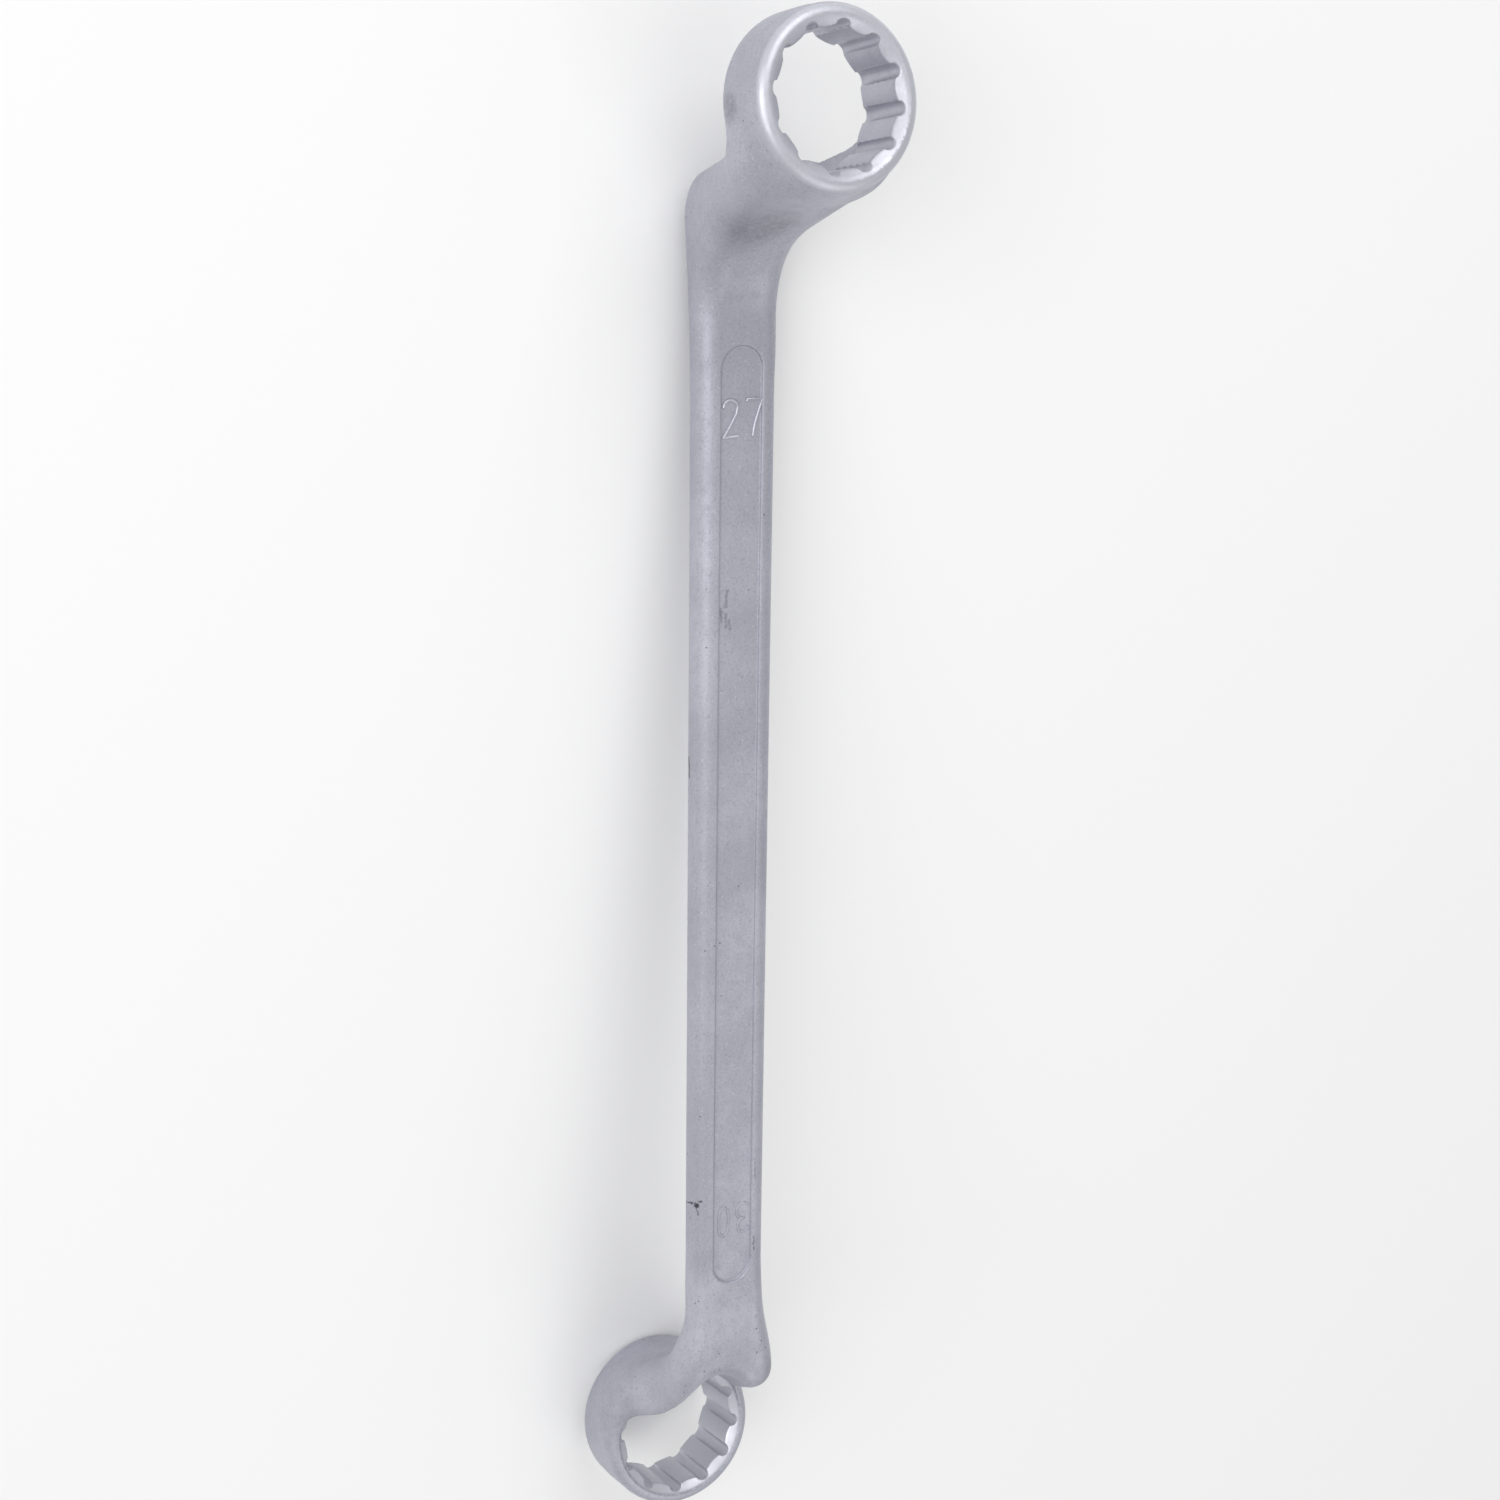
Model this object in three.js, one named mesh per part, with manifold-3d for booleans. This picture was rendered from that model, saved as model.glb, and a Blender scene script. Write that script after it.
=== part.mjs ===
// Double-ended offset ring spanner, 27 x 30 mm, millimetres, +Z up.
// The tool is one drop forging. It is modelled as its five natural regions: a
// ring head, a crank, the shank, a crank and a ring head, each its own solid,
// meeting face to face on plain sections of the forging.
//
// Tool axes while modelling: X runs along the shank towards the 27 end, Z is
// square to the shank's broad faces, Y is across it. The shank's middle is the
// origin. The 27 ring is offset towards +Z and the 30 ring towards -Z. At the
// end the whole tool is tipped about Y so that it lies as it does on a bench,
// on the back of the 27 crank and the near edge of the 30 ring.

import * as THREE from 'three';
import { mergeVertices } from 'three/addons/utils/BufferGeometryUtils.js';
import ManifoldModule from 'manifold-3d';

const wasm = await ManifoldModule();
wasm.setup();

const rad = THREE.MathUtils.degToRad;

// Shank
const SHANK_WIDTH = 20;
const SHANK_THICKNESS = 9.5;
const SHANK_EDGE = 4.2; // radius along its four long edges
const SHANK_HALF_LENGTH = 124; // to where the cranks start

// Long recessed panel with round ends, one on each broad face
const PANEL_MARGIN = 5.7; // from the panel's end to the shank's
const PANEL_HALF_WIDTH = 5.4;
const PANEL_DEPTH = 0.7;

// Both rings are tilted alike, so their axes are parallel
const HEAD_TILT = rad(9.4);

// Twelve-point bore, the same law at both ends
const POINTS = 12;
const CORNER_PLAY = 0.16; // groove bottom beyond the nut's corner
const CREST_PLAY = 0.1; // land beyond the theoretical crest
const GROOVE_SHARE = 0.4; // part of each point's pitch that is groove
const LAND_CROWN = 0.45; // how far a land falls away at its edges
const MOUTH_CLEARANCE = 0.75; // mouth of the countersink beyond the grooves
const MOUTH_SLOPE = rad(32); // countersink against the ring's face

// Each end: sizes are measured in the plane of the offset, outwards along the
// shank from its middle, and up in the direction of that end's offset.
const END_27 = {
  name: '27',
  acrossFlats: 27,
  bendRun: 30.2, // heel's corner beyond the end of the shank, before rounding
  setback: 18.4, // ring centre beyond the heel's corner
  offset: 36.5, // ring centre from the shank's middle plane
  ringRadius: 19.0,
  ringHeight: 16.4,
  ringEdge: 1.9,
  phase: rad(21.3), // one groove's angle from the outward direction
  heelRadius: 10.5,
  heelDrop: 0.5, // heel stands proud of the shank's back by this
  flare: 1.25, // width at the top of the bend, against the shank
  neckAngle: rad(74), // back of the neck against the shank
  throatLead: 1, // start of the throat beyond the end of the shank
  throatRadius: 22.5, // hollow between the shank and the neck
  throatAngle: rad(62), // front of the neck against the shank
};
const END_30 = {
  name: '30',
  acrossFlats: 30,
  bendRun: 27,
  setback: 27.45,
  offset: 31.9,
  ringRadius: 20.6,
  ringHeight: 18.6,
  ringEdge: 2.1,
  phase: rad(8.2),
  heelRadius: 7,
  heelDrop: 1.4,
  flare: 1.38,
  neckAngle: rad(58),
  throatLead: 3.8,
  throatRadius: 24,
  throatAngle: rad(52),
};

const NECK_EDGE = 5.6; // edge radius of the neck's section
const NECK_SHARE = 0.3; // part of the way from the bend to the ring that is crank
const SPREAD_SHARE = 0.45; // the same way again: how early the neck starts to widen

// The stub carries the neck into the ring. Its front and back are curves whose
// last two guide points are given outwards as a share of the ring's radius and
// up as a share of half its height.
const SHOULDER_SHARE = 0.92; // half-width where the neck meets the ring, of its radius
const FRONT_SHARES = [[-1.02, -0.1], [-0.86, 0.72]];
const BACK_SHARES = [[-0.4, -1.15], [-0.15, 0.7]];
const FRONT_PULL_SHARE = 0.45; // how far each curve follows the neck at first
const BACK_PULL_SHARE = 0.35;
const FULL_WIDTH_SHARE = 0.62; // of the stub's length, where it is widest
const CLOSING_SHARE = 0.6; // of the stub's length, from where it narrows again
const STUB_END_SHARE = 0.5; // half-width of its end inside the ring, of the radius
const STUB_EDGE_SHARE = 0.42; // edge radius of its end, of the ring's radius

// Hollow down the outside of each neck, which gives the bolt room: a slanting
// cone from the bore to the heel, so the neck is a trough with two flanks
const HOLLOW_RADIUS = 4.8; // at the heel
const HOLLOW_DEPTH = 6.4; // into the heel from its back corner
const HOLLOW_SHARE = 0.76; // radius at the ring's underside, of the bore's radius
const HOLLOW_SEGMENTS = 48;

// Fineness
const ARC_STEPS = 5; // per rounded corner of a section
const FLARE_STEPS = 2;
const BEND_STEPS = 11;
const NECK_STEPS = 2;
const SHOULDER_STEPS = 6;
const RING_SEGMENTS = 72;

const STEEL = { color: 0xa7a9b3, roughness: 0.42, metalness: 0.9 };

// Plain vector in the plane of the offset: x is along the shank, y is up
const vec = (x, y) => new THREE.Vector2(x, y);
const along = (angle) => vec(Math.cos(angle), Math.sin(angle));
const smooth = (t) => THREE.MathUtils.smoothstep(t, 0, 1);

// Where an end's heel and ring centre lie along the shank
const heelOf = (end) => SHANK_HALF_LENGTH + end.bendRun;
const reachOf = (end) => heelOf(end) + end.setback;

function signedVolume(positions, triangles) {
  const a = new THREE.Vector3();
  const b = new THREE.Vector3();
  const c = new THREE.Vector3();
  let sum = 0;
  for (let i = 0; i < triangles.length; i += 3) {
    a.fromArray(positions, 3 * triangles[i]);
    b.fromArray(positions, 3 * triangles[i + 1]);
    c.fromArray(positions, 3 * triangles[i + 2]);
    sum += a.dot(b.cross(c)) / 6;
  }
  return sum;
}

// Closed geometry from rings of points, each ring with the same count. The
// two ends are capped; the caps are fans because every section is convex.
function loft(rings) {
  const count = rings[0].length;
  const positions = rings.flat().flatMap((p) => [p.x, p.y, p.z]);
  const triangles = [];
  for (let r = 0; r + 1 < rings.length; r += 1) {
    for (let k = 0; k < count; k += 1) {
      const next = (k + 1) % count;
      const a = r * count + k;
      const b = r * count + next;
      const c = a + count;
      const d = b + count;
      triangles.push(a, b, d, a, d, c);
    }
  }
  const last = (rings.length - 1) * count;
  for (let k = 1; k + 1 < count; k += 1) {
    triangles.push(0, k + 1, k);
    triangles.push(last, last + k, last + k + 1);
  }
  if (signedVolume(positions, triangles) < 0) {
    for (let i = 0; i < triangles.length; i += 3) {
      const keep = triangles[i + 1];
      triangles[i + 1] = triangles[i + 2];
      triangles[i + 2] = keep;
    }
  }
  const geometry = new THREE.BufferGeometry();
  geometry.setAttribute('position', new THREE.Float32BufferAttribute(positions, 3));
  geometry.setIndex(triangles);
  return geometry;
}

// Section of the bar between an inner and an outer point of the side view:
// a rectangle with rounded corners, across the tool from -halfWidth to it.
function section({ inner, outer, halfWidth, edge }) {
  const middle = inner.clone().add(outer).multiplyScalar(0.5);
  const up = inner.clone().sub(outer);
  const halfHeight = up.length() / 2;
  up.normalize();
  const radius = Math.min(edge, halfHeight * 0.96, halfWidth * 0.96);
  const points = [];
  const corners = [[1, 1, 0], [-1, 1, 1], [-1, -1, 2], [1, -1, 3]];
  for (const [sideY, sideN, quarter] of corners) {
    for (let i = 0; i <= ARC_STEPS; i += 1) {
      const angle = (quarter + i / ARC_STEPS) * Math.PI / 2;
      const y = sideY * (halfWidth - radius) + radius * Math.cos(angle);
      const n = sideN * (halfHeight - radius) + radius * Math.sin(angle);
      const p = middle.clone().addScaledVector(up, n);
      points.push(new THREE.Vector3(p.x, y, p.y));
    }
  }
  return points;
}

function solid(geometry) {
  const bare = geometry.clone();
  bare.deleteAttribute('normal');
  bare.deleteAttribute('uv');
  const merged = mergeVertices(bare, 1e-4);
  return new wasm.Manifold(new wasm.Mesh({
    numProp: 3,
    vertProperties: Float32Array.from(merged.attributes.position.array),
    triVerts: Uint32Array.from(merged.index.array),
  }));
}

function toGeometry(manifold) {
  const mesh = manifold.getMesh();
  const geometry = new THREE.BufferGeometry();
  geometry.setAttribute('position', new THREE.BufferAttribute(mesh.vertProperties, 3));
  geometry.setIndex(new THREE.BufferAttribute(mesh.triVerts, 1));
  return geometry;
}

// Radii of the twelve-point bore for a nut of this size
function boreRadii(end) {
  const flat = end.acrossFlats / 2;
  return {
    groove: flat / Math.cos(Math.PI / 6) + CORNER_PLAY,
    crest: flat / Math.cos(Math.PI / POINTS) + CREST_PLAY,
  };
}

// Outline of the bore: narrow round-bottomed grooves between wide crowned
// lands, which drive on the nut's flats and not on its corners
function boreShape(end) {
  const { groove, crest } = boreRadii(end);
  const pitch = (2 * Math.PI) / POINTS;
  const half = (GROOVE_SHARE * pitch) / 2;
  const landEdge = crest + LAND_CROWN;
  const grooveAt = [-1, -0.92, -0.7, -0.38, 0, 0.38, 0.7, 0.92, 1];
  const landAt = [0.35, 0.7, 1, 1.3, 1.65];
  const outline = [];
  for (let k = 0; k < POINTS; k += 1) {
    const centre = end.phase + k * pitch;
    for (const s of grooveAt) {
      const radius = landEdge + (groove - landEdge) * Math.sqrt(1 - s * s);
      outline.push(vec(radius, 0).rotateAround(vec(0, 0), centre + s * half));
    }
    for (const s of landAt) {
      const radius = crest + LAND_CROWN * (1 - s) * (1 - s);
      const angle = centre + half + (s * (pitch - 2 * half)) / 2;
      outline.push(vec(radius, 0).rotateAround(vec(0, 0), angle));
    }
  }
  return new THREE.Shape(outline);
}

// Place a piece made about the ring's axis (+Z, centred) into the end's frame
function atRing(geometry, end) {
  geometry.rotateY(HEAD_TILT);
  geometry.translate(reachOf(end), 0, end.offset);
  return geometry;
}

// The ring as turned stock: a disc with rounded edges, before it is bored
function ringBlank(end) {
  const { ringRadius: r, ringHeight, ringEdge: e } = end;
  const h = ringHeight / 2;
  const profile = [vec(0, -h), vec(r - e, -h)];
  for (let i = 1; i <= ARC_STEPS; i += 1) {
    const a = (i / ARC_STEPS) * Math.PI / 2;
    profile.push(vec(r - e + e * Math.sin(a), -h + e - e * Math.cos(a)));
  }
  for (let i = 0; i <= ARC_STEPS; i += 1) {
    const a = (i / ARC_STEPS) * Math.PI / 2;
    profile.push(vec(r - e + e * Math.cos(a), h - e + e * Math.sin(a)));
  }
  profile.push(vec(0, h));
  const blank = new THREE.LatheGeometry(profile, RING_SEGMENTS);
  blank.rotateX(Math.PI / 2);
  return atRing(blank, end);
}

// Everything that the broach and the countersinks take out of a head
function boreCutter(end) {
  const { groove, crest } = boreRadii(end);
  const below = end.ringHeight / 2 + end.ringRadius;
  const above = end.ringHeight / 2 + 1;
  const broach = new THREE.ExtrudeGeometry(boreShape(end), {
    depth: below + above,
    bevelEnabled: false,
  });
  broach.translate(0, 0, -below);
  let cut = solid(atRing(broach, end));

  const mouth = groove + MOUTH_CLEARANCE;
  const waist = crest - 1;
  const depth = (mouth - waist) * Math.tan(MOUTH_SLOPE);
  const lead = 1;
  const cone = [
    vec(0, -depth),
    vec(waist, -depth),
    vec(mouth, 0),
    vec(mouth + lead / Math.tan(MOUTH_SLOPE) / 2, lead / 2),
    vec(0, lead / 2),
  ];
  for (const side of [1, -1]) {
    const sink = new THREE.LatheGeometry(cone, RING_SEGMENTS);
    sink.rotateX(side * Math.PI / 2);
    sink.translate(0, 0, side * end.ringHeight / 2);
    cut = cut.add(solid(atRing(sink, end)));
  }
  return cut;
}

// The hollow of the neck, from inside the bore's mouth to below the heel
function hollowCutter(end) {
  const { groove } = boreRadii(end);
  const low = -SHANK_THICKNESS / 2 - end.heelDrop - 1;
  const up = 0.3 - end.ringHeight / 2;
  const centre = heelOf(end) - HOLLOW_DEPTH + HOLLOW_RADIUS;
  const wide = HOLLOW_SHARE * groove;
  const top = [];
  const bottom = [];
  for (let i = 0; i < HOLLOW_SEGMENTS; i += 1) {
    const angle = (2 * Math.PI * i) / HOLLOW_SEGMENTS;
    const at = along(angle);
    const p = ringPoint(end, wide * (1 + at.x) - groove, up);
    top.push(new THREE.Vector3(p.x, wide * at.y, p.y));
    bottom.push(new THREE.Vector3(
      centre + HOLLOW_RADIUS * at.x,
      HOLLOW_RADIUS * at.y,
      low,
    ));
  }
  return solid(loft([bottom, top]));
}

// Guide lines of one crank in the side view. The throat is an arc about a
// pivot; every section of the bend lies on a ray from that pivot, and its far
// end is where the ray meets the rounded heel.
function crankGuides(end) {
  const half = SHANK_THICKNESS / 2;
  const { neckAngle, throatAngle, throatRadius, heelRadius } = end;
  const run = along(neckAngle);
  const throatRun = along(throatAngle);
  const back = -half - end.heelDrop;
  const heelCorner = vec(heelOf(end), back);
  const pivot = vec(SHANK_HALF_LENGTH + end.throatLead, half + throatRadius);
  const heelCentre = vec(
    heelCorner.x - heelRadius * Math.tan(neckAngle / 2),
    back + heelRadius,
  );
  const ray = (phi) => vec(Math.sin(phi), -Math.cos(phi));
  const toCorner = heelCorner.clone().sub(pivot);
  const toHeel = heelCentre.clone().sub(pivot);
  const heelAt = (phi) => {
    const direction = ray(phi);
    const toShank = (pivot.y - back) / Math.cos(phi);
    const toNeck = toCorner.cross(run) / direction.cross(run);
    const middle = direction.dot(toHeel);
    const root = heelRadius ** 2 - toHeel.lengthSq() + middle ** 2;
    const toArc = root > 0 ? middle + Math.sqrt(root) : Infinity;
    const hit = pivot.clone().addScaledVector(direction, toArc);
    const fromCentre = hit.sub(heelCentre);
    const onArc = root > 0
      && fromCentre.x >= 0
      && fromCentre.dot(run) <= 0;
    const reach = onArc ? toArc : Math.min(toShank, toNeck);
    return pivot.clone().addScaledVector(direction, reach);
  };
  const throatAt = (phi) => pivot.clone().addScaledVector(ray(phi), throatRadius);
  return { pivot, run, throatRun, throatAt, heelAt };
}

// Point of the ring's own frame: outwards from its axis and up along it
function ringPoint(end, out, up) {
  const c = Math.cos(HEAD_TILT);
  const s = Math.sin(HEAD_TILT);
  return vec(reachOf(end) + out * c + up * s, end.offset - out * s + up * c);
}

// Stations of the bar from the shank, round the bend and up to the ring
function crankStations(end) {
  const half = SHANK_THICKNESS / 2;
  const halfWidth = SHANK_WIDTH / 2;
  const bendWidth = halfWidth * end.flare;
  const shoulder = end.ringRadius * SHOULDER_SHARE;
  const { pivot, run, throatRun, throatAt, heelAt } = crankGuides(end);

  const straight = [];
  for (let i = 0; i < FLARE_STEPS; i += 1) {
    const x = THREE.MathUtils.lerp(SHANK_HALF_LENGTH, pivot.x, i / FLARE_STEPS);
    const drop = end.heelDrop * smooth(i / FLARE_STEPS);
    straight.push({ inner: vec(x, half), outer: vec(x, -half - drop), at: x });
  }
  const bend = [];
  for (let i = 0; i <= BEND_STEPS; i += 1) {
    const phi = (end.throatAngle * i) / BEND_STEPS;
    const bendLength = (end.throatRadius + half) * phi;
    bend.push({ inner: throatAt(phi), outer: heelAt(phi), at: pivot.x + bendLength });
  }
  const top = bend[BEND_STEPS];
  const underside = ringPoint(end, -end.ringRadius, -end.ringHeight / 2);
  const toRing = underside.clone().sub(top.inner).dot(throatRun);
  const neck = [];
  for (let i = 1; i <= NECK_STEPS; i += 1) {
    const move = (NECK_SHARE * toRing * i) / NECK_STEPS;
    neck.push({
      inner: top.inner.clone().addScaledVector(throatRun, move),
      outer: top.outer.clone().addScaledVector(run, move),
      at: top.at + move,
    });
  }

  const start = SHANK_HALF_LENGTH;
  const full = top.at + toRing;
  const widthAt = (at) => {
    const flare = smooth((at - start) / (top.at - start));
    const early = SPREAD_SHARE * toRing;
    const spread = smooth((at - top.at + early) / (full - top.at + early));
    return halfWidth + (bendWidth - halfWidth) * flare + (shoulder - bendWidth) * spread;
  };
  const edgeAt = (at) => {
    const share = smooth((at - start) / (top.at - start));
    return THREE.MathUtils.lerp(SHANK_EDGE, NECK_EDGE, share);
  };
  const crank = [...straight, ...bend, ...neck];
  for (const station of crank) {
    station.halfWidth = widthAt(station.at);
    station.edge = edgeAt(station.at);
  }

  // From the last neck section the stub spreads into the ring and ends inside it
  const last = crank[crank.length - 1];
  const r = end.ringRadius;
  const h = end.ringHeight / 2;
  const innerPath = new THREE.CubicBezierCurve(
    last.inner,
    last.inner.clone().addScaledVector(throatRun, FRONT_PULL_SHARE * toRing),
    ...FRONT_SHARES.map(([out, up]) => ringPoint(end, out * r, up * h)),
  );
  const outerPath = new THREE.CubicBezierCurve(
    last.outer,
    last.outer.clone().addScaledVector(run, BACK_PULL_SHARE * toRing),
    ...BACK_SHARES.map(([out, up]) => ringPoint(end, out * r, up * h)),
  );
  const stub = [last];
  for (let i = 1; i <= SHOULDER_STEPS; i += 1) {
    const t = i / SHOULDER_STEPS;
    const widening = smooth(t / FULL_WIDTH_SHARE);
    const closing = smooth((t - CLOSING_SHARE) / (1 - CLOSING_SHARE));
    const wide = THREE.MathUtils.lerp(last.halfWidth, shoulder, widening);
    stub.push({
      inner: innerPath.getPoint(t),
      outer: outerPath.getPoint(t),
      halfWidth: THREE.MathUtils.lerp(wide, STUB_END_SHARE * r, closing),
      edge: THREE.MathUtils.lerp(last.edge, STUB_EDGE_SHARE * r, smooth(t)),
    });
  }
  return { crank, stub };
}

function buildEnd(end) {
  const { crank, stub } = crankStations(end);
  const cutter = boreCutter(end).add(hollowCutter(end));
  const crankSolid = solid(loft(crank.map(section))).subtract(cutter);
  const head = solid(ringBlank(end))
    .add(solid(loft(stub.map(section))))
    .subtract(cutter);
  return { crank: toGeometry(crankSolid), head: toGeometry(head) };
}

function panelCutter(side) {
  const outline = new THREE.Shape();
  const straight = SHANK_HALF_LENGTH - PANEL_MARGIN - PANEL_HALF_WIDTH;
  outline.absarc(straight, 0, PANEL_HALF_WIDTH, -Math.PI / 2, Math.PI / 2);
  outline.absarc(-straight, 0, PANEL_HALF_WIDTH, Math.PI / 2, 1.5 * Math.PI);
  const recess = new THREE.ExtrudeGeometry(outline, {
    depth: PANEL_DEPTH + 1,
    bevelEnabled: false,
    curveSegments: 16,
  });
  recess.translate(0, 0, SHANK_THICKNESS / 2 - PANEL_DEPTH);
  if (side < 0) recess.rotateX(Math.PI);
  return solid(recess);
}

function buildShank() {
  const half = SHANK_THICKNESS / 2;
  const stations = [-1, 1].map((side) => ({
    inner: vec(side * SHANK_HALF_LENGTH, half),
    outer: vec(side * SHANK_HALF_LENGTH, -half),
    halfWidth: SHANK_WIDTH / 2,
    edge: SHANK_EDGE,
  }));
  const bar = solid(loft(stations.map(section)));
  return toGeometry(bar.subtract(panelCutter(1)).subtract(panelCutter(-1)));
}

function node(name, geometry) {
  const mesh = new THREE.Mesh(geometry, new THREE.MeshStandardMaterial(STEEL));
  mesh.name = name;
  return mesh;
}

// Angle about Y that brings the back of the 27 crank level with the lowest
// edge of the 30 ring, found by turning until both rest at one height
function restAngle(front, rear) {
  const point = new THREE.Vector3();
  const yAxis = new THREE.Vector3(0, 1, 0);
  const lowest = (meshes, angle) => {
    const best = new THREE.Vector3(0, 0, Infinity);
    for (const mesh of meshes) {
      const position = mesh.geometry.attributes.position;
      for (let i = 0; i < position.count; i += 1) {
        point.fromBufferAttribute(position, i).applyAxisAngle(yAxis, angle);
        if (point.z < best.z) best.copy(point);
      }
    }
    return best;
  };
  let angle = 0;
  for (let pass = 0; pass < 12; pass += 1) {
    const a = lowest(front, angle);
    const b = lowest(rear, angle);
    angle += Math.atan2(a.z - b.z, a.x - b.x);
  }
  return angle;
}

const end27 = buildEnd(END_27);
const end30 = buildEnd(END_30);
// The 30 end is the same construction turned half a turn about Y
for (const geometry of Object.values(end30)) geometry.rotateY(Math.PI);

const head27 = node('ring_head_27', end27.head);
const crank27 = node('crank_27', end27.crank);
const shank = node('shank', buildShank());
const crank30 = node('crank_30', end30.crank);
const head30 = node('ring_head_30', end30.head);

const tool = new THREE.Group();
tool.add(head27, crank27, shank, crank30, head30);
tool.rotation.y = restAngle([crank27, head27], [crank30, head30]);

// Stand the tool on z = 0, centred on its own box
const spanner = new THREE.Group();
spanner.add(tool);
spanner.updateMatrixWorld(true);
const box = new THREE.Box3().setFromObject(spanner, true);
tool.position.set(
  -(box.min.x + box.max.x) / 2,
  -(box.min.y + box.max.y) / 2,
  -box.min.z,
);
spanner.updateMatrixWorld(true);

export default spanner;
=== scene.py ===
"""Looks of the offset ring spanner: one smooth forging in satin chrome.

The forging is a solid field (about the distance to the surface, negative
inside) with the main sizes of the part's source and softer blends, turned into
one mesh. Sizes are in millimetres in the tool's own axes: X along the shank
towards the 27 end, Z square to its broad faces, Y across it, with the shank's
middle at the origin.
"""

import math

import bpy
import numpy as np
from mathutils import Matrix, Vector


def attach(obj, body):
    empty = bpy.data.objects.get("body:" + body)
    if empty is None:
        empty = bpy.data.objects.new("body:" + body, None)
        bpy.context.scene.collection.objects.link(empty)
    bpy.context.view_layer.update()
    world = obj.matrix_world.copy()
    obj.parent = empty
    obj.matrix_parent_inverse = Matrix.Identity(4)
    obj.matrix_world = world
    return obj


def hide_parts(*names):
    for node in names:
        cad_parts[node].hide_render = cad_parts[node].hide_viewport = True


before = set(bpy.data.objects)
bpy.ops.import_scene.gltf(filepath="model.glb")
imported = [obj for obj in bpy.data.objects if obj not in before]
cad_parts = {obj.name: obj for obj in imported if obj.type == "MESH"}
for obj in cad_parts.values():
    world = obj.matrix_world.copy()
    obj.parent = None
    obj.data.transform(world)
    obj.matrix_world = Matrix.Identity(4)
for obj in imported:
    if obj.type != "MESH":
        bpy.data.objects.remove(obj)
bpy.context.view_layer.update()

MM = 0.001

# Shank and its sunk panels
HALF_THICK = 4.75
SHANK_EDGE = 4.2
SHANK_END = 124.0
PANEL_HALF_LENGTH = 118.3
PANEL_HALF_WIDTH = 5.4
PANEL_DEPTH = 0.7
PANEL_WALL_SLOPE = 0.35
PANEL_FLOOR_BLEND = 0.25

# Rings and bores
HEAD_TILT = math.radians(9.4)
POINTS = 12
CORNER_PLAY = 0.16
CREST_PLAY = 0.1
GROOVE_SHARE = 0.4
LAND_CROWN = 0.45
MOUTH_CLEARANCE = 0.75
MOUTH_SLOPE = math.radians(32)
BORE_SAMPLES = 400

# Where the bore runs out into the neck, and how fast it narrows from there
RUN_OUT = 16.0
RUN_OUT_SLOPE = 1.0

# Hollow down the outside of each neck
HOLLOW_SHARE = 0.76

# Edge radii and blends of the forged surface
HEEL_EDGE = 5.2
THROAT_EDGE = 7.0
RING_BLEND = 7.5
NECK_TOP = 1.0
NECK_BLEND = 5.0
LIP = 3.6
LIP_BLEND = 1.0
BORE_BLEND = 0.4
PANEL_BLEND = 0.35

# Lengths over which forms run into each other: the heel's drop along the bar,
# the far and near heel across it, the neck's edge radii through its thickness,
# and the shank's edge radius along it, from how far before the bend
HEEL_RUN = 10.0
CROSS_RUN = 10.0
NECK_RUN = 10.0
EDGE_START = 10.0
EDGE_RUN = 30.0

# Smoothing of the half-widths: margin, samples and width of the moving mean
WIDTH_MARGIN = 6
WIDTH_SAMPLES = 300
WIDTH_KERNEL = 41

# Ends, measured outwards along the shank and up towards that end's ring. Heels
# give the corner, its radius and the neck's angle at the far and near edge.
# Widths are half-widths along the bar, counted from where the bend starts.
END_27 = {
    "side": 1, "flats": 27.0, "reach": 172.6, "offset": 36.5,
    "ring_radius": 19.25, "ring_height": 16.4, "ring_edge": 2.4,
    "phase": math.radians(21.3), "heel_drop": 0.5,
    "heels": [(154.3, 12.5, math.radians(74)), (154.3, 12.5, math.radians(74))],
    "throat_start": 123.5, "throat_radius": 24.0, "throat_angle": math.radians(62),
    "hollow_radius": 4.8, "hollow_foot": 147.8, "hollow_aside": 0.0, "hollow_blend": 3.0,
    # How strongly the bore's walls are painted lighter: painted light that lifts the shade inside the
    # bore
    "bore_light": 0.3,
    "half_widths": [(-14, 10.0), (2, 10.5), (15, 11.4), (22, 12.2), (28, 13.6), (42, 16.3), (52, 18.2)],
}
END_30 = {
    "side": -1, "flats": 30.0, "reach": 178.45, "offset": 31.9,
    "ring_radius": 20.75, "ring_height": 18.6, "ring_edge": 2.6,
    "phase": math.radians(8.2), "heel_drop": 1.4,
    "heels": [(150.1, 7.0, math.radians(58)), (154.9, 34.0, math.radians(62.4))],
    "throat_start": 127.8, "throat_radius": 24.0, "throat_angle": math.radians(52),
    "hollow_radius": 6.2, "hollow_foot": 144.2, "hollow_aside": 2.8, "hollow_blend": 3.5,
    # How strongly the bore's walls are painted lighter: painted light that lifts the shade inside the
    # bore
    "bore_light": 0.8,
    "half_widths": [(-14, 10.0), (0, 10.2), (5, 11.1), (10, 12.5), (14, 13.3), (28, 14.0), (46, 17.5)],
}

# Mesh fineness: grid step at the heads and along the plain shank, how far the
# fine grid and the heads' field reach onto the shank, and the step for slopes
HEAD_STEP = 0.42
SHANK_STEP = 1.6
FINE_OVERLAP = 18
HEAD_OVERLAP = 4
PROBE = 0.03

# Box of the grid, the heights and widths in which each stretch can lie, and the
# field's value where the tool can't be
GRID_END_27 = 197
GRID_END_30 = 205
GRID_HALF_WIDTH = 22.5
GRID_LOW, GRID_HIGH = -47.5, 50.5
HEAD_HALF_WIDTH = 23
HEIGHTS_27 = (-9, 51)
HEIGHTS_30 = (-48, 9)
SHANK_SPACE = (12, 7)
EMPTY = 5.0

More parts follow.
